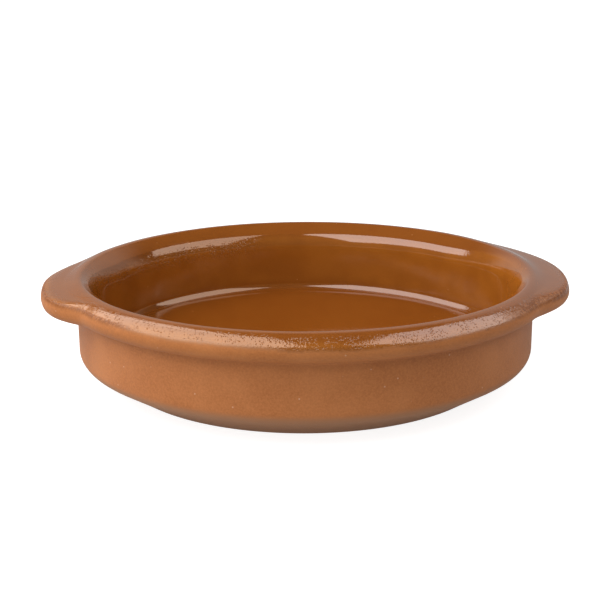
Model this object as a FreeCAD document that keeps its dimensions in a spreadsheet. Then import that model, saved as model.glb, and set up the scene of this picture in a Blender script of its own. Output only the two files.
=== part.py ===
"""A small round terracotta cazuela: one piece of fired clay, millimetres, standing on z = 0.

The origin is the middle of the flat base, +Z is up and +X runs out through one ear.
The bowl and its rolled rim are one turned form.  Each ear is drawn out of the rim: it is a
loft through radial sections that start and end buried in the rim's roll.
"""
import FreeCAD, Part
import math
import os
import Sketcher

# Driving sizes, all in millimetres but for the angles in degrees and the plain ear_fullness

SIZES = {
    "wall_radius": 75.0,       # outside of the upright wall
    "dish_height": 35.1,       # table to the crest of the rim
    "base_radius": 60.6,       # flat that the dish stands on
    "bevel_height": 11.2,      # where the wall begins to turn in towards the base
    "arris_radius": 4.5,       # softening between wall and bevel
    "floor_thickness": 8.4,
    "wall_thickness": 5.7,     # just under the lip
    "inner_lean": 0.5,         # angle of the inner wall from upright
    "floor_fillet": 5.0,       # inner corner between floor and wall
    "lip_radius": 4.8,         # inner edge, wall to crest
    "crest_radius": 3.2,       # top edge, crest to the outer slope
    "roll_radius": 3.7,        # outer roll of the rim
    "roll_reach": 5.3,         # how far the roll stands out past the wall
    "roll_drop": 5.8,          # crest down to the middle of the roll
    "tuck_radius": 1.0,        # hollow where the roll meets the wall
    "ear_reach": 11.1,         # how far an ear stands out past the wall
    "ear_drop": 5.0,           # crest down to the middle of the ear's edge
    "ear_edge_radius": 3.3,
    "ear_half_angle": 34.0,    # from the middle of an ear to where it joins the roll
    "ear_fullness": 2.5,       # 2 is a pointed ear, 3 a broad one
}

ROOT_DEPTH = 3.0       # how far inside the wall an ear's section is rooted
TROUGH_DEPTH = 1.2     # from the crest down to where an ear's shelf leaves it
UNDERCUT = 1.2         # extra clay under the middle of an ear, at the wall
BURIED = 0.3           # how far an ear's first and last sections lie inside the roll
EAR_STEPS = 4          # sections between the middle of an ear and each end

START, END, CENTRE = 1, 2, 3
ORIGIN = -1


def point(x, y):
    return FreeCAD.Vector(x, y, 0)


def origin_feature(body, role):
    return next(feature for feature in body.Origin.OriginFeatures if feature.Role == role)


def new_sketch(body, name, turn=0.0, side=1):
    """A sketch on the upright XZ plane, turned about Z; side -1 turns it the other way."""
    sketch = body.newObject("Sketcher::SketchObject", name)
    sketch.AttachmentSupport = [(origin_feature(body, "XZ_Plane"), "")]
    sketch.MapMode = "FlatFace"
    upright = FreeCAD.Rotation(FreeCAD.Vector(0, side, 0), turn)
    sketch.AttachmentOffset = FreeCAD.Placement(point(0, 0), upright)
    return sketch


def add_line(sketch, start, end):
    return sketch.addGeometry(Part.LineSegment(point(*start), point(*end)), False)


def add_arc(sketch, centre, radius, first, last):
    circle = Part.Circle(point(*centre), FreeCAD.Vector(0, 0, 1), radius)
    arc = Part.ArcOfCircle(circle, math.radians(first), math.radians(last))
    return sketch.addGeometry(arc, False)


def tie(sketch, kind, *items):
    return sketch.addConstraint(Sketcher.Constraint(kind, *items))


def bind(sketch, kind, items, value, expression):
    """A sized constraint whose value follows the sheet."""
    index = tie(sketch, kind, *items, value)
    sketch.setExpression(f"Constraints[{index}]", expression)


def place(sketch, geometry, vertex, x, y, x_expression, y_expression):
    bind(sketch, "DistanceX", (ORIGIN, START, geometry, vertex), x, x_expression)
    bind(sketch, "DistanceY", (ORIGIN, START, geometry, vertex), y, y_expression)


def make_sheet(doc):
    sheet = doc.addObject("Spreadsheet::Sheet", "Sizes")
    for row, (alias, value) in enumerate(SIZES.items(), start=1):
        sheet.set(f"A{row}", alias)
        sheet.set(f"B{row}", str(value))
        sheet.setAlias(f"B{row}", alias)
    doc.recompute()
    return sheet


def draw_section(body, sheet):
    """Half of the turned form, from the middle of the base round to the middle of the floor."""
    wall, height, base = sheet.wall_radius, sheet.dish_height, sheet.base_radius
    inner = wall - sheet.wall_thickness
    crest = inner + sheet.lip_radius
    roll_x = wall + sheet.roll_reach - sheet.roll_radius
    roll_y = height - sheet.roll_drop
    tuck, arris, fillet = sheet.tuck_radius, sheet.arris_radius, sheet.floor_fillet
    under = roll_y - sheet.roll_radius - tuck
    corner = inner - fillet - 1.0
    floor = sheet.floor_thickness

    section = new_sketch(body, "Section")
    foot = add_line(section, (0, 0), (base, 0))
    bevel = add_line(section, (base, 0), (wall - 2, 7))
    edge = add_arc(section, (wall - arris, sheet.bevel_height), arris, -58, 0)
    outside = add_line(section, (wall, sheet.bevel_height), (wall, under))
    hollow = add_arc(section, (wall + tuck, under), tuck, 100, 180)
    roll = add_arc(section, (roll_x, roll_y), sheet.roll_radius, -95, 50)
    slope = add_line(section, (roll_x + 2.3, roll_y + 2.9), (crest + 2.0, height - 0.7))
    top = add_arc(section, (crest, height - sheet.crest_radius), sheet.crest_radius, 50, 90)
    lip = add_arc(section, (crest, height - sheet.lip_radius), sheet.lip_radius, 90, 178)
    inside = add_line(section, (inner, height - sheet.lip_radius), (inner - 0.5, floor + fillet))
    cove = add_arc(section, (corner, floor + fillet), fillet, -90, -2)
    bottom = add_line(section, (corner, floor), (0, floor))
    middle = add_line(section, (0, floor), (0, 0))

    tie(section, "Coincident", foot, START, ORIGIN, START)
    tie(section, "Horizontal", foot)
    tie(section, "Coincident", foot, END, bevel, START)
    tie(section, "Tangent", bevel, END, edge, START)
    tie(section, "Tangent", edge, END, outside, START)
    tie(section, "Vertical", outside)
    tie(section, "Tangent", outside, END, hollow, END)
    tie(section, "Tangent", hollow, START, roll, START)
    tie(section, "Tangent", roll, END, slope, START)
    tie(section, "Tangent", slope, END, top, START)
    tie(section, "Tangent", top, END, lip, START)
    tie(section, "Vertical", top, CENTRE, lip, CENTRE)
    tie(section, "Tangent", lip, END, inside, START)
    tie(section, "Tangent", inside, END, cove, END)
    tie(section, "Tangent", cove, START, bottom, START)
    tie(section, "Horizontal", bottom)
    tie(section, "Coincident", bottom, END, middle, START)
    tie(section, "Coincident", middle, END, foot, START)
    tie(section, "Vertical", middle)

    bind(section, "DistanceX", (foot, START, foot, END), base, "Sizes.base_radius")
    place(section, edge, END, wall, sheet.bevel_height, "Sizes.wall_radius", "Sizes.bevel_height")
    bind(section, "Radius", (edge,), arris, "Sizes.arris_radius")
    bind(section, "Radius", (hollow,), tuck, "Sizes.tuck_radius")
    bind(section, "Radius", (roll,), sheet.roll_radius, "Sizes.roll_radius")
    place(section, roll, CENTRE, roll_x, roll_y,
          "Sizes.wall_radius + Sizes.roll_reach - Sizes.roll_radius",
          "Sizes.dish_height - Sizes.roll_drop")
    bind(section, "Radius", (top,), sheet.crest_radius, "Sizes.crest_radius")
    bind(section, "Radius", (lip,), sheet.lip_radius, "Sizes.lip_radius")
    place(section, lip, CENTRE, crest, height - sheet.lip_radius,
          "Sizes.wall_radius - Sizes.wall_thickness + Sizes.lip_radius",
          "Sizes.dish_height - Sizes.lip_radius")
    bind(section, "Radius", (cove,), fillet, "Sizes.floor_fillet")
    bind(section, "DistanceY", (middle, END, middle, START), floor, "Sizes.floor_thickness")
    lean = math.radians(sheet.inner_lean)
    bind(section, "Angle", (outside, START, inside, END), lean, "Sizes.inner_lean * 1 deg")
    return section


def turn_bowl(body, section):
    bowl = body.newObject("PartDesign::Revolution", "Bowl")
    bowl.Profile = section
    bowl.ReferenceAxis = (section, ["V_Axis"])
    bowl.Angle = 360
    return bowl


def ease_rule(step):
    """How much of the ear is present at a step: 1 in its middle and 0 at its ends."""
    share = step / EAR_STEPS
    return f"(1 - pow({share}; Sizes.ear_fullness))^2"


def between(at_end, in_middle, ease):
    return f"({at_end}) + (({in_middle}) - ({at_end})) * {ease}"


def draw_ear_section(body, sheet, step):
    """A radial cut through an ear: shelf, rounded edge, underside and a root in the wall."""
    side = 1 if step >= 0 else -1
    steps_out = abs(step)
    turn = sheet.ear_half_angle * steps_out / EAR_STEPS
    name = f"EarSection{step + EAR_STEPS}"
    section = new_sketch(body, name, turn, side)
    section.setExpression("AttachmentOffset.Rotation.Angle",
                          f"Sizes.ear_half_angle * {steps_out / EAR_STEPS} * 1 deg")

    ease_text = ease_rule(steps_out)
    ease = (1 - (steps_out / EAR_STEPS) ** sheet.ear_fullness) ** 2
    radius = sheet.roll_radius - BURIED
    radius += (sheet.ear_edge_radius - radius) * ease
    reach = sheet.roll_reach - BURIED
    reach += (sheet.ear_reach - reach) * ease
    drop = sheet.roll_drop + (sheet.ear_drop - sheet.roll_drop) * ease
    edge_x = sheet.wall_radius + reach - radius
    edge_y = sheet.dish_height - drop
    crest_x = sheet.wall_radius - sheet.wall_thickness + sheet.lip_radius
    crest_y = sheet.dish_height - TROUGH_DEPTH
    root_x = sheet.wall_radius - ROOT_DEPTH
    root_y = sheet.dish_height - sheet.roll_drop - sheet.roll_radius - UNDERCUT * ease

    shelf = add_line(section, (crest_x, crest_y), (edge_x + 0.4, edge_y + radius))
    edge = add_arc(section, (edge_x, edge_y), radius, -85, 80)
    under = add_line(section, (edge_x + 0.4, edge_y - radius), (root_x, root_y))
    root = add_line(section, (root_x, root_y), (crest_x, crest_y))

    tie(section, "Tangent", shelf, END, edge, END)
    tie(section, "Tangent", edge, START, under, START)
    tie(section, "Coincident", under, END, root, START)
    tie(section, "Coincident", root, END, shelf, START)

    radius_text = between(f"Sizes.roll_radius - {BURIED}", "Sizes.ear_edge_radius", ease_text)
    reach_text = between(f"Sizes.roll_reach - {BURIED}", "Sizes.ear_reach", ease_text)
    drop_text = between("Sizes.roll_drop", "Sizes.ear_drop", ease_text)
    bind(section, "Radius", (edge,), radius, radius_text)
    place(section, edge, CENTRE, edge_x, edge_y,
          f"Sizes.wall_radius + {reach_text} - ({radius_text})",
          f"Sizes.dish_height - ({drop_text})")
    place(section, shelf, START, crest_x, crest_y,
          "Sizes.wall_radius - Sizes.wall_thickness + Sizes.lip_radius",
          f"Sizes.dish_height - {TROUGH_DEPTH}")
    place(section, root, START, root_x, root_y,
          f"Sizes.wall_radius - {ROOT_DEPTH}",
          f"Sizes.dish_height - Sizes.roll_drop - Sizes.roll_radius - {UNDERCUT} * {ease_text}")
    return section


def draw_out_ears(body, sheet):
    """One ear lofted along the rim, then the same ear half a turn further on."""
    sections = [draw_ear_section(body, sheet, step) for step in range(-EAR_STEPS, EAR_STEPS + 1)]
    ear = body.newObject("PartDesign::AdditiveLoft", "Ear")
    ear.Profile = sections[0]
    ear.Sections = [(section, "") for section in sections[1:]]
    ear.Ruled = False
    pair = body.newObject("PartDesign::PolarPattern", "EarPair")
    pair.Originals = [ear]
    pair.Axis = (origin_feature(body, "Z_Axis"), [""])
    pair.Angle = 360
    pair.Occurrences = 2
    body.Tip = pair


def check(doc, body):
    for item in doc.Objects:
        if "Invalid" in item.State or "Error" in item.State:
            raise RuntimeError(f"{item.Name} did not build: {item.State}")
        if item.TypeId == "Sketcher::SketchObject" and item.solve() != 0:
            raise RuntimeError(f"{item.Name} has no solution")
    shape = body.Shape
    if shape.isNull() or not shape.isValid() or len(shape.Solids) != 1:
        raise RuntimeError("the dish is not one sound solid")


def main():
    doc = FreeCAD.newDocument("Cazuela")
    sheet = make_sheet(doc)
    body = doc.addObject("PartDesign::Body", "Dish")
    body.Label = "cazuela_dish"
    section = draw_section(body, sheet)
    doc.recompute()
    turn_bowl(body, section)
    doc.recompute()
    bowl_volume = body.Shape.Volume
    draw_out_ears(body, sheet)
    doc.recompute()
    check(doc, body)
    box = body.Shape.BoundBox
    print(f"bowl {bowl_volume / 1000:.1f} cm3, with ears {body.Shape.Volume / 1000:.1f} cm3")
    print(f"size {box.XLength:.2f} x {box.YLength:.2f} x {box.ZLength:.2f} mm")
    os.makedirs("parts", exist_ok=True)
    body.Shape.exportStep(f"parts/{body.Label}.step")


main()
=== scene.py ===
import math
import bpy
from mathutils import Matrix, Vector


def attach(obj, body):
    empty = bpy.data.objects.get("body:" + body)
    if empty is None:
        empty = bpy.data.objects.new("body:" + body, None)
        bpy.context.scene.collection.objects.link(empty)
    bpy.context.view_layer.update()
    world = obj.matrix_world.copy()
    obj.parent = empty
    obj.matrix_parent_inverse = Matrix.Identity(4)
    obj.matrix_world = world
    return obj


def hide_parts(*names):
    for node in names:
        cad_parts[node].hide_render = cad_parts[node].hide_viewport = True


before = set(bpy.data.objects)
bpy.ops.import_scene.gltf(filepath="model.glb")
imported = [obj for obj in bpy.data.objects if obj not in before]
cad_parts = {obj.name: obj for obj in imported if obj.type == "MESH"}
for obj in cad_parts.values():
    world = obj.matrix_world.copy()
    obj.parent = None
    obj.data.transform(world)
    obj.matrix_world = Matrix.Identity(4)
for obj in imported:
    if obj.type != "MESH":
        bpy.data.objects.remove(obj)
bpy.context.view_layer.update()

MM = 0.001


# Camera and studio
# The dish is seen from a little above its rim and slightly from the left, on a white table
# between two soft boxes, with a white wall behind it.  Angles are in degrees.

VIEW_TURN = -7.5
VIEW_PITCH = 15.37
VIEW_ROLL = -0.29
VIEW_DISTANCE = 400 * MM
VIEW_AIM = Vector((-1.7, 1.5, 23.1)) * MM
LENS_MM = 71.46
SENSOR_MM = 36.0
LAMP_AIM = Vector((0, 0, 20 * MM))

WHITE = (1, 1, 1, 1)
WALL_SIDE = (172, -30)      # azimuth and elevation of the white wall
WALL_SPREAD = (0.2, 0.5)    # cosines to that side where its light begins and is full
WALL_LIGHT = (0.048, 0.4)   # mirrored in the glaze: away from the wall and towards it
ROOM_SIDE = (-80, 20)       # where the light of the room comes from
ROOM_SPREAD = (-0.25, 1.0)
ROOM_LIGHT = (0.04, 1.44)   # falling on the dish: from the other side and from this one

TABLE_REACH = 6.0
TABLE_COLOUR = (0.4, 0.4, 0.4, 1)
TABLE_ROUGHNESS = 0.9
TABLE_GLOW = 0.2            # light of its own, on all sides
TABLE_GLOW_SEEN = 0.68      # and more of it to the camera, so that it shows white there

turn_to_view = Matrix.Rotation(math.radians(VIEW_TURN), 3, "Z")


def toward(azimuth, elevation):
    """A direction seen from the dish: 0 is the camera's side, positive is its right."""
    a, e = math.radians(azimuth), math.radians(elevation)
    direction = Vector((math.sin(a) * math.cos(e), -math.cos(a) * math.cos(e), math.sin(e)))
    return turn_to_view @ direction


def facing(back, roll):
    """The turn of a camera or lamp whose back points in a direction."""
    rolled = Matrix.Rotation(math.radians(roll), 3, "Z").to_quaternion()
    return (back.to_track_quat("Z", "Y") @ rolled).to_euler()


def add_object(name, data):
    made = bpy.data.objects.new(name, data)
    bpy.context.scene.collection.objects.link(made)
    return made


def set_camera():
    data = bpy.data.cameras.new("view")
    data.lens = LENS_MM
    data.sensor_width = SENSOR_MM
    camera = add_object("view", data)
    back = toward(0, VIEW_PITCH)
    camera.location = turn_to_view @ VIEW_AIM + back * VIEW_DISTANCE
    camera.rotation_euler = facing(back, VIEW_ROLL)
    bpy.context.scene.camera = camera


def soft_box(name, azimuth, elevation, distance, width, depth, roll, strength):
    """A lamp that faces the dish; its width is level when it isn't rolled."""
    data = bpy.data.lights.new(name, "AREA")
    data.shape = "RECTANGLE"
    data.size = width
    data.size_y = depth
    data.energy = strength * math.pi * width * depth
    lamp = add_object(name, data)
    back = toward(azimuth, elevation)
    lamp.location = LAMP_AIM + back * distance
    lamp.rotation_euler = facing(back, roll)
    lamp.visible_camera = False


def node(tree, kind, **settings):
    made = tree.nodes.new(kind)
    for name, value in settings.items():
        setattr(made, name, value)
    return made


def feed(tree, socket, value):
    """Links a socket's source, or sets the socket to a plain value."""
    if isinstance(value, bpy.types.NodeSocket):
        tree.links.new(value, socket)
    else:
        socket.default_value = value


def calc(tree, operation, *values, clamp=False):
    made = node(tree, "ShaderNodeMath", operation=operation, use_clamp=clamp)
    for socket, value in zip(made.inputs, values):
        feed(tree, socket, value)
    return made.outputs[0]


def product(tree, first, *others):
    for other in others:
        first = calc(tree, "MULTIPLY", first, other)
    return first


def total(tree, first, *others):
    for other in others:
        first = calc(tree, "ADD", first, other)
    return first


def vector_calc(tree, operation, *values):
    made = node(tree, "ShaderNodeVectorMath", operation=operation)
    for socket, value in zip(made.inputs, values):
        feed(tree, socket, value)
    return made.outputs["Value" if operation == "DOT_PRODUCT" else "Vector"]


def ramp(tree, value, low, high, start=0.0, end=1.0):
    """Goes softly from start to end while the value goes from low to high, and stays there."""
    made = node(tree, "ShaderNodeMapRange", interpolation_type="SMOOTHSTEP")
    feed(tree, made.inputs["Value"], value)
    made.inputs["From Min"].default_value = low
    made.inputs["From Max"].default_value = high
    made.inputs["To Min"].default_value = start
    made.inputs["To Max"].default_value = end
    return made.outputs["Result"]


def light_from(tree, side, spread, levels):
    """The light of every direction, which grows softly towards one side."""
    direction = node(tree, "ShaderNodeTexCoord").outputs["Generated"]
    along = vector_calc(tree, "DOT_PRODUCT", direction, toward(*side))
    return ramp(tree, along, *spread, *levels)


def light_world():
    """White to the camera, a white wall in the gloss, and a room that is lit from the left."""
    world = bpy.data.worlds.new("studio")
    bpy.context.scene.world = world
    world.use_nodes = True
    tree = world.node_tree
    tree.nodes.clear()
    rays = node(tree, "ShaderNodeLightPath").outputs
    wall = light_from(tree, WALL_SIDE, WALL_SPREAD, WALL_LIGHT)
    room = light_from(tree, ROOM_SIDE, ROOM_SPREAD, ROOM_LIGHT)
    mirrored = product(tree, rays["Is Glossy Ray"], wall)
    falling = product(tree, calc(tree, "SUBTRACT", 1.0, rays["Is Glossy Ray"]), room)
    level = calc(tree, "MAXIMUM", total(tree, mirrored, falling), rays["Is Camera Ray"])
    shade = node(tree, "ShaderNodeBackground")
    shade.inputs["Color"].default_value = WHITE
    feed(tree, shade.inputs["Strength"], level)
    out = node(tree, "ShaderNodeOutputWorld")
    feed(tree, out.inputs["Surface"], shade.outputs[0])


def lay_table():
    """A wide white table, which shows white to the camera and keeps the dish's shadow."""
    mesh = bpy.data.meshes.new("table")
    corners = [(-TABLE_REACH, -TABLE_REACH, 0), (TABLE_REACH, -TABLE_REACH, 0),
               (TABLE_REACH, TABLE_REACH, 0), (-TABLE_REACH, TABLE_REACH, 0)]
    mesh.from_pydata(corners, [], [(0, 1, 2, 3)])
    table = add_object("table", mesh)
    white = bpy.data.materials.new("white_table")
    white.use_nodes = True
    tree = white.node_tree
    shader = tree.nodes["Principled BSDF"]
    shader.inputs["Base Color"].default_value = TABLE_COLOUR
    shader.inputs["Roughness"].default_value = TABLE_ROUGHNESS
    shader.inputs["Specular IOR Level"].default_value = 0.0
    shader.inputs["Emission Color"].default_value = WHITE
    seen = node(tree, "ShaderNodeLightPath").outputs["Is Camera Ray"]
    glow = calc(tree, "MULTIPLY_ADD", seen, TABLE_GLOW_SEEN, TABLE_GLOW)
    feed(tree, shader.inputs["Emission Strength"], glow)
    mesh.materials.append(white)


bpy.context.scene.view_settings.view_transform = "Standard"
set_camera()
light_world()
lay_table()
soft_box("left_soft_box", azimuth=-76.2, elevation=52.1, distance=258 * MM,
         width=397 * MM, depth=241 * MM, roll=9.0, strength=2.35)
soft_box("right_soft_box", azimuth=84.9, elevation=44.9, distance=404 * MM,
         width=425 * MM, depth=343 * MM, roll=-9.3, strength=1.75)


# Dish
# One piece of fired clay, turned with a thick rolled rim that is drawn out into an ear on each
# side.  Honey-brown glaze covers the inside and the top of the rim; the outside is bare.

WALL_RADIUS = 75.0 * MM             # outside of the upright wall
CREST = (73.95 * MM, 34.95 * MM)    # radius and height of the top of the plain rim
EAR_CREST = (73.95 * MM, 34.9 * MM)
ROLL_RADIUS = 3.2 * MM              # outer roll of the plain rim
TUCK_RADIUS = 1.2 * MM              # soft corner under the rim
BEVEL_TOP = 11.3 * MM               # where the wall begins to turn in towards the base
BEVEL_TURN = 58                     # degrees from the wall to the bevel
BEVEL_ROUND = 4.5 * MM              # soft edge between them
BASE_ROUND = 1.2 * MM               # soft edge of the flat base
COVE_TOP = 12.1 * MM                # where the inner wall begins to turn in towards the floor
INNER_LEAN = -3.0                   # degrees; below 0 the inside is wider at its foot
DISHED = 2.4                        # degrees that the floor falls towards its middle
GLAZED_TURN = 31                    # degrees round the plain roll that the glaze comes down
GLAZED_SHORT = 0.4 * MM             # bare strip at the foot of an ear's face
COLUMNS = 720                       # round the axis
SEAM_GAP = 0.005 * MM               # points closer than this become one


def trace(start, heading, strokes):
    """An outline drawn stroke by stroke, as (radius, height, length drawn so far).

    A stroke is ("bend", radius, turn, steps), where a turn to the left is positive, or a
    straight run ("to_r" or "to_z", the place where it ends, steps).
    """
    r, z = start
    angle = math.radians(heading)
    drawn = 0.0
    points = [(r, z, drawn)]
    for kind, size, *rest in strokes:
        steps = rest[-1]
        for step in range(steps):
            if kind == "bend":
                part = math.radians(rest[0]) / steps
                length = 2 * size * math.sin(abs(part) / 2)
            else:
                part = 0.0
                slope = math.cos(angle) if kind == "to_r" else math.sin(angle)
                length = (size - (r if kind == "to_r" else z)) / slope / (steps - step)
            r += length * math.cos(angle + part / 2)
            z += length * math.sin(angle + part / 2)
            angle += part
            drawn += length
            points.append((r, z, drawn))
    return points


def inside_of(crest, groove):
    """From the crest over the lip, down the inner wall, round the cove and along the floor.

    The groove is a faint hollow between the crest and the lip's slope, in degrees.
    """
    return trace(crest, 180, [
        ("bend", 1.9 * MM, 35 + groove, 5),             # inner edge of the crest
        ("bend", 0.8 * MM, -2 * groove, 3),
        ("bend", 34.0 * MM, 3.6 + groove, 4),           # slope of the lip
        ("bend", 0.86 * MM, 19.2, 4),                   # its lower edge
        ("bend", 10.4 * MM, 32.2 - INNER_LEAN, 9),      # round into the inner wall
        ("to_z", COVE_TOP, 4),
        ("bend", 1.2 * MM, INNER_LEAN - 22, 3),         # cove, in three curves
        ("bend", 4.2 * MM, -25, 8),
        ("bend", 0.6 * MM, DISHED - 43, 6),
        ("to_r", 0.0, 8),                               # floor
    ])


def outside_of(crest, edge):
    """From the crest over the edge, under the rim, down the wall and along the base."""
    tuck_turn = -90 - sum(turn for _, _, turn, _ in edge)
    tuck_reach = TUCK_RADIUS * (1 - math.cos(math.radians(tuck_turn)))
    base_turn = 90 - BEVEL_TURN
    return trace(crest, 0, edge + [
        ("to_r", WALL_RADIUS + tuck_reach, 2),
        ("bend", TUCK_RADIUS, tuck_turn, 6),
        ("to_z", BEVEL_TOP, 6),
        ("bend", BEVEL_ROUND, -BEVEL_TURN, 6),
        ("to_z", BASE_ROUND * (1 - math.cos(math.radians(base_turn))), 4),
        ("bend", BASE_ROUND, -base_turn, 3),
        ("to_r", 0.0, 3),
    ])


def length_at_end(outline, strokes):
    """The length drawn where the first strokes of an outline end."""
    return outline[sum(stroke[-1] for stroke in strokes)][2]


def whole_section(outside, inside, glaze_end):
    """The section from the middle of the base, over the rim, to the middle of the floor.

    With each point goes its distance from the edge of the glaze, positive inside the glaze.
    """
    return [(r, z, glaze_end - d) for r, z, d in reversed(outside)] + \
        [(r, z, glaze_end + d) for r, z, d in inside[1:]]


def plain_section():
    slope = [
        ("bend", 6.4 * MM, -28.5, 5),       # outer edge of the crest
        ("bend", 1.5 * MM, -5.5, 4),
        ("bend", 18.4 * MM, -8.5, 4),       # down to the roll
    ]
    roll = [("bend", ROLL_RADIUS, -122.5, 20)]
    outside = outside_of(CREST, slope + roll)
    glaze_end = length_at_end(outside, slope) + ROLL_RADIUS * math.radians(GLAZED_TURN)
    return whole_section(outside, inside_of(CREST, groove=5), glaze_end)


def ear_section():
    """Over the crest and its valley, along the ear's shelf and down its upright face."""
    shelf_and_face = [
        ("bend", 4.5 * MM, -22, 5),         # outer edge of the crest
        ("bend", 14.0 * MM, 19, 4),         # valley
        ("bend", 59.0 * MM, -4, 2),         # shelf
        ("bend", 5.0 * MM, -14, 2),
        ("bend", 0.4 * MM, -43, 7),         # arris between shelf and face
        ("bend", 6.5 * MM, -24, 5),         # face
    ]
    lower_edge = [("bend", 3.0 * MM, -87, 8)]
    outside = outside_of(EAR_CREST, shelf_and_face + lower_edge)
    glaze_end = length_at_end(outside, shelf_and_face) - GLAZED_SHORT
    return whole_section(outside, inside_of(EAR_CREST, groove=0), glaze_end)


def section_guides(plain, ear):
    """The plain section and the ear's section as two lines, to be swept round the axis."""
    points = plain + ear
    links = [(i, i + 1) for i in range(len(points) - 1) if i != len(plain) - 1]
    mesh = bpy.data.meshes.new("sections")
    mesh.from_pydata([(r, 0, z) for r, z, _ in points], links, [])
    length = mesh.attributes.new("glaze", "FLOAT", "POINT")
    length.data.foreach_set("value", [d / MM for _, _, d in points])
    return add_object("sections", mesh)


def split(tree, vector):
    made = node(tree, "ShaderNodeSeparateXYZ")
    feed(tree, made.inputs[0], vector)
    return made.outputs


def join(tree, x, y, z):
    made = node(tree, "ShaderNodeCombineXYZ")
    for socket, value in zip(made.inputs, (x, y, z)):
        feed(tree, socket, value)
    return made.outputs[0]


# The first socket to blend and the result, for each kind of a Mix node
MIX_SOCKETS = {"FLOAT": (2, 0), "VECTOR": (4, 1), "RGBA": (6, 2)}


def mix(tree, kind, share, first, second):
    """The first value where the share is 0 and the second where it is 1."""
    made = node(tree, "ShaderNodeMix", data_type=kind)
    entry, result = MIX_SOCKETS[kind]
    feed(tree, made.inputs[0], share)
    feed(tree, made.inputs[entry], first)
    feed(tree, made.inputs[entry + 1], second)
    return made.outputs[result]


def noise(tree, vector, scale, detail=2.0, roughness=0.5, seed=0.0):
    made = node(tree, "ShaderNodeTexNoise", noise_dimensions="4D")
    feed(tree, made.inputs["Vector"], vector)
    made.inputs["W"].default_value = seed
    made.inputs["Scale"].default_value = scale
    made.inputs["Detail"].default_value = detail
    made.inputs["Roughness"].default_value = roughness
    return made.outputs[0]


def ear_share(tree, angle, peak, before, after, fullness):
    """How much of the ear's section stands at an angle: 1 at its peak, 0 past its shoulders."""
    off = calc(tree, "WRAP", calc(tree, "SUBTRACT", angle, peak), math.pi, -math.pi)
    past = calc(tree, "GREATER_THAN", off, 0.0)
    half = total(tree, product(tree, past, after),
                 product(tree, calc(tree, "SUBTRACT", 1.0, past), before))
    away = calc(tree, "DIVIDE", calc(tree, "ABSOLUTE", off), half, clamp=True)
    left = calc(tree, "SUBTRACT", 1.0, calc(tree, "POWER", away, fullness))
    return product(tree, left, left)


def shape_step(tree, kind, geometry, fed=None, **settings):
    """Passes geometry through a node, with what its other sockets get by name."""
    made = node(tree, kind, **settings)
    feed(tree, made.inputs["Geometry"], geometry)
    for name, value in (fed or {}).items():
        feed(tree, made.inputs[name], value)
    return made.outputs["Geometry"]


def dent_by_hand(tree, depth):
    """How far each point sinks in, as on a dish that is turned by hand; its base stays flat."""
    where = node(tree, "GeometryNodeInputPosition").outputs[0]
    slow = noise(tree, where, scale=32.0, detail=1.0, roughness=0.4, seed=3.1)
    quick = noise(tree, where, scale=110.0, detail=1.0, seed=7.7)
    dent = total(tree, product(tree, slow, 0.75), product(tree, quick, 0.25))
    height = calc(tree, "SUBTRACT", split(tree, where)[2], 0.1 * MM)
    off_table = calc(tree, "MULTIPLY", height, 1 / MM, clamp=True)
    shift = node(tree, "ShaderNodeVectorMath", operation="SCALE")
    feed(tree, shift.inputs[0], node(tree, "GeometryNodeInputNormal").outputs[0])
    feed(tree, shift.inputs["Scale"], product(tree, dent, off_table, depth, -1.0))
    return shift.outputs["Vector"]


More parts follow.
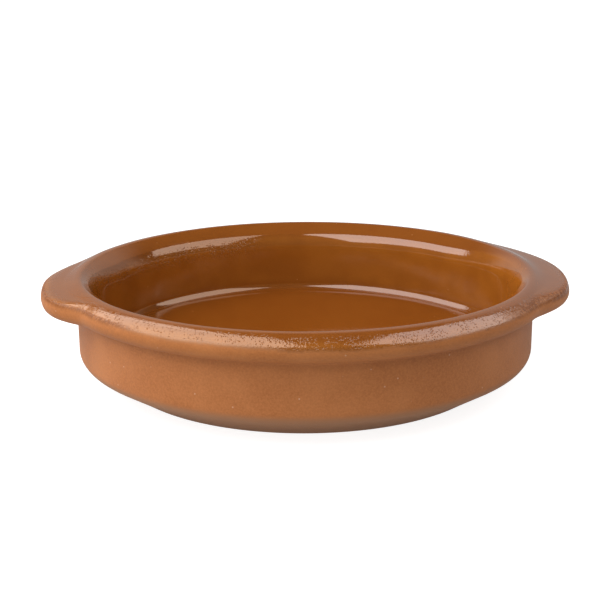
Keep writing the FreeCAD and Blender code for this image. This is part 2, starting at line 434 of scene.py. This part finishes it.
def turning_tree(rows, inputs):
    """Sweeps the sections round the axis and blends them by angle into a rim with two ears."""
    tree = bpy.data.node_groups.new("turned_dish", "GeometryNodeTree")
    tree.interface.new_socket(name="Geometry", in_out="OUTPUT", socket_type="NodeSocketGeometry")
    for name, (kind, _) in inputs.items():
        tree.interface.new_socket(name=name, in_out="INPUT", socket_type=kind)
    given = node(tree, "NodeGroupInput").outputs

    grid = node(tree, "GeometryNodeMeshGrid")
    grid.inputs["Size X"].default_value = 1
    grid.inputs["Size Y"].default_value = 1
    feed(tree, grid.inputs["Vertices X"], total(tree, given["Columns"], 1))
    grid.inputs["Vertices Y"].default_value = rows
    place = split(tree, node(tree, "GeometryNodeInputPosition").outputs[0])
    angle = product(tree, total(tree, place[0], 0.5), 2 * math.pi)
    row = calc(tree, "ROUND", product(tree, total(tree, place[1], 0.5), rows - 1))
    right = ear_share(tree, angle, given["Right ear peak"], given["Right ear front"],
                      given["Right ear back"], given["Fullness"])
    left = ear_share(tree, angle, given["Left ear peak"], given["Left ear back"],
                     given["Left ear front"], given["Fullness"])
    ear = total(tree, right, product(tree, left, given["Left ear size"]))

    guides = node(tree, "GeometryNodeObjectInfo")
    feed(tree, guides.inputs["Object"], given["Sections"])

    def sampled(kind, mix_kind, value):
        """A guide's value at this row, part of the way from the plain section to the ear's."""
        found = []
        for shift in (0, rows):
            at = node(tree, "GeometryNodeSampleIndex", data_type=kind, domain="POINT")
            feed(tree, at.inputs["Geometry"], guides.outputs["Geometry"])
            feed(tree, at.inputs["Value"], value)
            feed(tree, at.inputs["Index"], total(tree, row, shift))
            found.append(at.outputs["Value"])
        return mix(tree, mix_kind, ear, *found)

    guide_place = node(tree, "GeometryNodeInputPosition").outputs[0]
    radius, _, height = split(tree, sampled("FLOAT_VECTOR", "VECTOR", guide_place))
    swept = join(tree, product(tree, radius, calc(tree, "COSINE", angle)),
                 product(tree, radius, calc(tree, "SINE", angle)), height)
    length = node(tree, "GeometryNodeInputNamedAttribute", data_type="FLOAT")
    length.inputs["Name"].default_value = "glaze"
    bare = product(tree, left, given["Left ear bare edge"])
    into_glaze = sampled("FLOAT", "FLOAT", length.outputs["Attribute"])

    shape = shape_step(tree, "GeometryNodeStoreNamedAttribute", grid.outputs["Mesh"],
                       {"Name": "glaze", "Value": calc(tree, "SUBTRACT", into_glaze, bare)},
                       data_type="FLOAT", domain="POINT")
    shape = shape_step(tree, "GeometryNodeSetPosition", shape, {"Position": swept})
    shape = shape_step(tree, "GeometryNodeMergeByDistance", shape, {"Distance": SEAM_GAP})
    dents = dent_by_hand(tree, given["Unevenness"])
    shape = shape_step(tree, "GeometryNodeSetPosition", shape, {"Offset": dents})
    shape = shape_step(tree, "GeometryNodeSetShadeSmooth", shape)
    shape = shape_step(tree, "GeometryNodeRealizeInstances", shape)
    shape = shape_step(tree, "GeometryNodeSetMaterial", shape, {"Material": given["Finish"]})
    out = node(tree, "NodeGroupOutput")
    feed(tree, out.inputs["Geometry"], shape)
    return tree


def colour(red, green, blue):
    """A paint colour from its screen values, 0 to 255."""
    return tuple((c / 255 / 12.92 if c <= 10 else ((c / 255 + 0.055) / 1.055) ** 2.4)
                 for c in (red, green, blue)) + (1.0,)


GLAZE = colour(150, 87, 27)
GLAZE_THIN = colour(160, 94, 34)
GLAZE_DEEP = colour(116, 58, 14)
CLAY = colour(188, 117, 67)
CLAY_DARK = colour(166, 100, 55)
CLAY_LIGHT = colour(204, 133, 81)
# Painted reflection of the white table, for the bevel
CLAY_FOOT_SHEEN = colour(171, 120, 84)
# Painted shade, for the corner under the rim
CLAY_SHADED = colour(112, 66, 36)
GRIT = colour(226, 196, 164)
GLOSS_TINT_LEFT = (1.0, 0.76, 0.58, 1.0)
GLOSS_TINT_RIGHT = (1.0, 0.86, 0.8, 1.0)
MATTE_TINT = (0.22, 0.17, 0.12, 1.0)
GLAZE_IOR = 2.1

# Bands along the section, in millimetres into the glaze from its edge: where a band starts,
# is full, begins to wane and ends.  The rim's crest lies at 8 and the inner wall past 20.
UNDER_CORNER = (-11.5, -8.8, -7.4, -5.4)
ROLLED_EDGE = (0.1, 0.9, 4.2, 5.6)
RIM_TOP = (1.5, 4.0, 14.0, 17.0)
CREST_TOP = (7.0, 8.5, 12.5, 14.0)
LIP = (14.6, 16.2, 19.0, 23.0)


def band(tree, value, start, full, wane, end):
    """1 from full to wane, and softly down to 0 at start and end."""
    return product(tree, ramp(tree, value, start, full), ramp(tree, value, end, wane))


def swing(tree, pattern, middle, reach):
    """A pattern moved so that it swings about 0."""
    return product(tree, calc(tree, "SUBTRACT", pattern, middle), reach)


def spots(tree, place, scale, share, inner, outer):
    """Round spots, one in some of the cells of a grid, 1 inside and 0 outside them."""
    cells = node(tree, "ShaderNodeTexVoronoi", feature="F1")
    feed(tree, cells.inputs["Vector"], place)
    cells.inputs["Scale"].default_value = scale
    some = calc(tree, "LESS_THAN", split(tree, cells.outputs["Color"])[0], share)
    return product(tree, ramp(tree, cells.outputs["Distance"], outer, inner), some)


def paint_over(tree, paint, *coats):
    """Lays coats over a paint, each given as its share and its colour."""
    for share, coat in coats:
        paint = mix(tree, "RGBA", share, paint, coat)
    return paint


def wavy_line(tree, place, across):
    """Millimetres into the glaze from its edge, which wanders and is higher towards the ears."""
    line = node(tree, "ShaderNodeAttribute", attribute_name="glaze").outputs["Fac"]
    wander = swing(tree, noise(tree, place, scale=0.09, detail=1.0), 0.45, 1.2)
    creep = swing(tree, noise(tree, place, scale=1.0, detail=4.0, roughness=0.7), 0.5, 1.6)
    short = total(tree, ramp(tree, across, -10.0, -24.0, 0.0, 0.9),
                  ramp(tree, across, 20.0, 34.0, 0.0, 0.4))
    return calc(tree, "SUBTRACT", total(tree, line, total(tree, wander, creep)), short)


def pits(tree, place, line, across):
    """Small pits, crowded on parts of the rolled edge and on the left half of the lip."""
    crowd = ramp(tree, noise(tree, place, scale=0.3, seed=6.0), 0.36, 0.5)
    on_edge = product(tree, band(tree, line, *ROLLED_EDGE), crowd)
    on_lip = product(tree, band(tree, line, *LIP), ramp(tree, across, -4.0, -16.0))
    coarse = spots(tree, place, scale=1.1, share=0.6, inner=0.1, outer=0.4)
    fine = spots(tree, place, scale=1.9, share=0.5, inner=0.1, outer=0.45)
    return product(tree, calc(tree, "MAXIMUM", coarse, fine),
                   calc(tree, "MAXIMUM", on_edge, on_lip))


def dry_edge(tree, line, across):
    """The thin dry edge of the glaze on the face of each ear."""
    right = product(tree, ramp(tree, line, 3.8, 2.9), ramp(tree, across, 46.0, 60.0))
    left = product(tree, ramp(tree, line, 1.9, 1.1), ramp(tree, across, -52.0, -64.0))
    return total(tree, right, left)


def glaze_colour(tree, place, line, height, mottle, pit, edge, streak):
    """Honey brown, thinner at the rim and deeper on its dry edge, with painted shade on the
    floor, on the rim's top and in the pits.
    """
    thin = calc(tree, "ADD", ramp(tree, line, 10.0, 4.0, 0.0, 0.4),
                ramp(tree, mottle, 0.35, 0.7, -0.15, 0.35), clamp=True)
    cloud = noise(tree, place, scale=0.1, detail=1.0, seed=5.0)
    # Painted shade: the glaze is darker on the floor and on the rim's top, which face upwards.
    painted_shade_on_tops = calc(tree, "MAXIMUM", product(tree, band(tree, line, *RIM_TOP), 0.6),
                   ramp(tree, height, 15.0, 9.0, 0.0, 0.75))
    pinhole = spots(tree, place, scale=0.5, share=0.04, inner=0.06, outer=0.13)
    return paint_over(
        tree, mix(tree, "RGBA", thin, GLAZE, GLAZE_THIN),
        (ramp(tree, cloud, 0.35, 0.7, 0.0, 0.3), GLAZE_DEEP),
        (painted_shade_on_tops, GLAZE_DEEP),
        (product(tree, pinhole, 0.7), CLAY_LIGHT),
        # Painted shade in the pits.
        (product(tree, pit, 0.5), GLAZE_DEEP),
        (product(tree, edge, 0.7), GLAZE_DEEP),
        (product(tree, streak, 0.35), CLAY_LIGHT),
    )


def clay_colour(tree, place, line, height, grain):
    """Bare gritty clay, with painted shade in the corner under the rim and a greyer painted
    reflection of the table on the bevel.
    """
    patch = noise(tree, place, scale=0.07, seed=9.0)
    grit = spots(tree, place, scale=0.5, share=0.1, inner=0.07, outer=0.16)
    return paint_over(
        tree, mix(tree, "RGBA", ramp(tree, grain, 0.3, 0.7), CLAY_DARK, CLAY),
        (ramp(tree, patch, 0.35, 0.7, 0.0, 0.35), CLAY_LIGHT),
        (product(tree, grit, 0.45), GRIT),
        # Painted shade in the corner under the rim.
        (product(tree, band(tree, line, *UNDER_CORNER), 0.18), CLAY_SHADED),
        (ramp(tree, line, -7.0, -5.0, 0.0, 0.25), GLAZE),
        # Painted reflection of the white table: the bevel is greyer.
        (ramp(tree, height, 11.0, 8.5), CLAY_FOOT_SHEEN),
    )


def glaze_relief(tree, place, line, across, pit, streak):
    """Millimetres of orange peel, pits, streaks and faint turning rings on the glaze."""
    peel = noise(tree, place, scale=1.3, seed=4.0)
    patch = noise(tree, place, scale=0.04, detail=1.0, seed=8.0)
    depth = total(tree, product(tree, band(tree, line, *ROLLED_EDGE), 0.04),
                  ramp(tree, patch, 0.45, 0.6, 0.006, 0.03))
    ring = noise(tree, join(tree, line, 0.0, 0.0), scale=0.9, detail=1.0, seed=12.0)
    rings = product(tree, ring, band(tree, line, *CREST_TOP),
                    ramp(tree, across, -10.0, -45.0, 0.01, 0.08))
    pitted = calc(tree, "SUBTRACT", product(tree, peel, depth), product(tree, pit, 0.08))
    return total(tree, pitted, product(tree, streak, 0.08), rings)


def glazed_clay():
    """Glossy honey-brown glaze over matte clay, which meet in a soft wavy line on the rim."""
    material = bpy.data.materials.new("glazed_clay")
    material.use_nodes = True
    tree = material.node_tree
    shader = tree.nodes["Principled BSDF"]
    # Places are in millimetres; across grows towards the right ear
    place = vector_calc(tree, "MULTIPLY", node(tree, "ShaderNodeTexCoord").outputs["Object"],
                        (1 / MM, 1 / MM, 1 / MM))
    across, _, height = split(tree, place)
    line = wavy_line(tree, place, across)
    glazed = ramp(tree, line, -0.8, 0.8)
    mottle = noise(tree, place, scale=1.7, detail=3.0, roughness=0.6, seed=2.0)
    grain = noise(tree, place, scale=1.7, detail=4.0, roughness=0.75, seed=1.0)
    pit = pits(tree, place, line, across)
    edge = dry_edge(tree, line, across)
    upright = vector_calc(tree, "MULTIPLY", place, (1.0, 1.0, 0.15))
    run = noise(tree, upright, scale=1.4, roughness=0.6, seed=11.0)
    streak = product(tree, ramp(tree, run, 0.45, 0.65), edge)

    clay = clay_colour(tree, place, line, height, grain)
    glaze = glaze_colour(tree, place, line, height, mottle, pit, edge, streak)
    feed(tree, shader.inputs["Base Color"], mix(tree, "RGBA", glazed, clay, glaze))

    # Painted light: the reflections are tinted whiter towards the right than on the left,
    # standing in for the light on that side.
    shine = mix(tree, "RGBA", ramp(tree, across, -15.0, 25.0), GLOSS_TINT_LEFT, GLOSS_TINT_RIGHT)
    wet = calc(tree, "SUBTRACT", 1.0, product(tree, edge, 0.85))
    tint = mix(tree, "RGBA", product(tree, glazed, wet), MATTE_TINT, shine)
    feed(tree, shader.inputs["Specular Tint"], tint)

    matte = total(tree, product(tree, grain, 0.2), 0.45)
    gloss = total(tree, product(tree, mottle, 0.05), ramp(tree, line, 2.0, -0.2, 0.03, 0.3),
                  product(tree, edge, 0.15))
    feed(tree, shader.inputs["Roughness"], mix(tree, "FLOAT", glazed, matte, gloss))
    shader.inputs["IOR"].default_value = GLAZE_IOR

    sand = product(tree, grain, 0.08)
    skin = total(tree, glaze_relief(tree, place, line, across, pit, streak), 0.03)
    bump = node(tree, "ShaderNodeBump")
    bump.inputs["Strength"].default_value = 1.0
    bump.inputs["Distance"].default_value = MM
    feed(tree, bump.inputs["Height"], mix(tree, "FLOAT", glazed, sand, skin))
    feed(tree, shader.inputs["Normal"], bump.outputs[0])
    return material


plain, ear = plain_section(), ear_section()
guides = section_guides(plain, ear)
# An ear's front and back are how far it reaches from its peak to its shoulders
inputs = {
    "Sections": ("NodeSocketObject", guides),
    "Columns": ("NodeSocketInt", COLUMNS),
    "Right ear peak": ("NodeSocketFloat", math.radians(-12.8)),
    "Right ear front": ("NodeSocketFloat", math.radians(23.7)),
    "Right ear back": ("NodeSocketFloat", math.radians(48.3)),
    "Left ear peak": ("NodeSocketFloat", math.radians(189.4)),
    "Left ear front": ("NodeSocketFloat", math.radians(17.2)),
    "Left ear back": ("NodeSocketFloat", math.radians(35.0)),
    "Left ear size": ("NodeSocketFloat", 1.0),
    "Left ear bare edge": ("NodeSocketFloat", 0.9),
    "Fullness": ("NodeSocketFloat", 2.86),
    "Unevenness": ("NodeSocketFloat", 0.14 * MM),
    "Finish": ("NodeSocketMaterial", glazed_clay()),
}
host = add_object("host", bpy.data.meshes.new("host"))
turning = host.modifiers.new("turning", "NODES")
turning.node_group = turning_tree(len(plain), inputs)
for socket in turning.node_group.interface.items_tree:
    if socket.item_type == "SOCKET" and socket.in_out == "INPUT":
        turning[socket.identifier] = inputs[socket.name][1]
seen = bpy.context.evaluated_depsgraph_get()
mesh = bpy.data.meshes.new_from_object(host.evaluated_get(seen), preserve_all_data_layers=True,
                                       depsgraph=seen)
mesh.name = "dish"
dish = add_object("dish", mesh)
for helper in (host, guides):
    bpy.data.objects.remove(helper)
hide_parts("cazuela_dish")
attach(dish, "root")
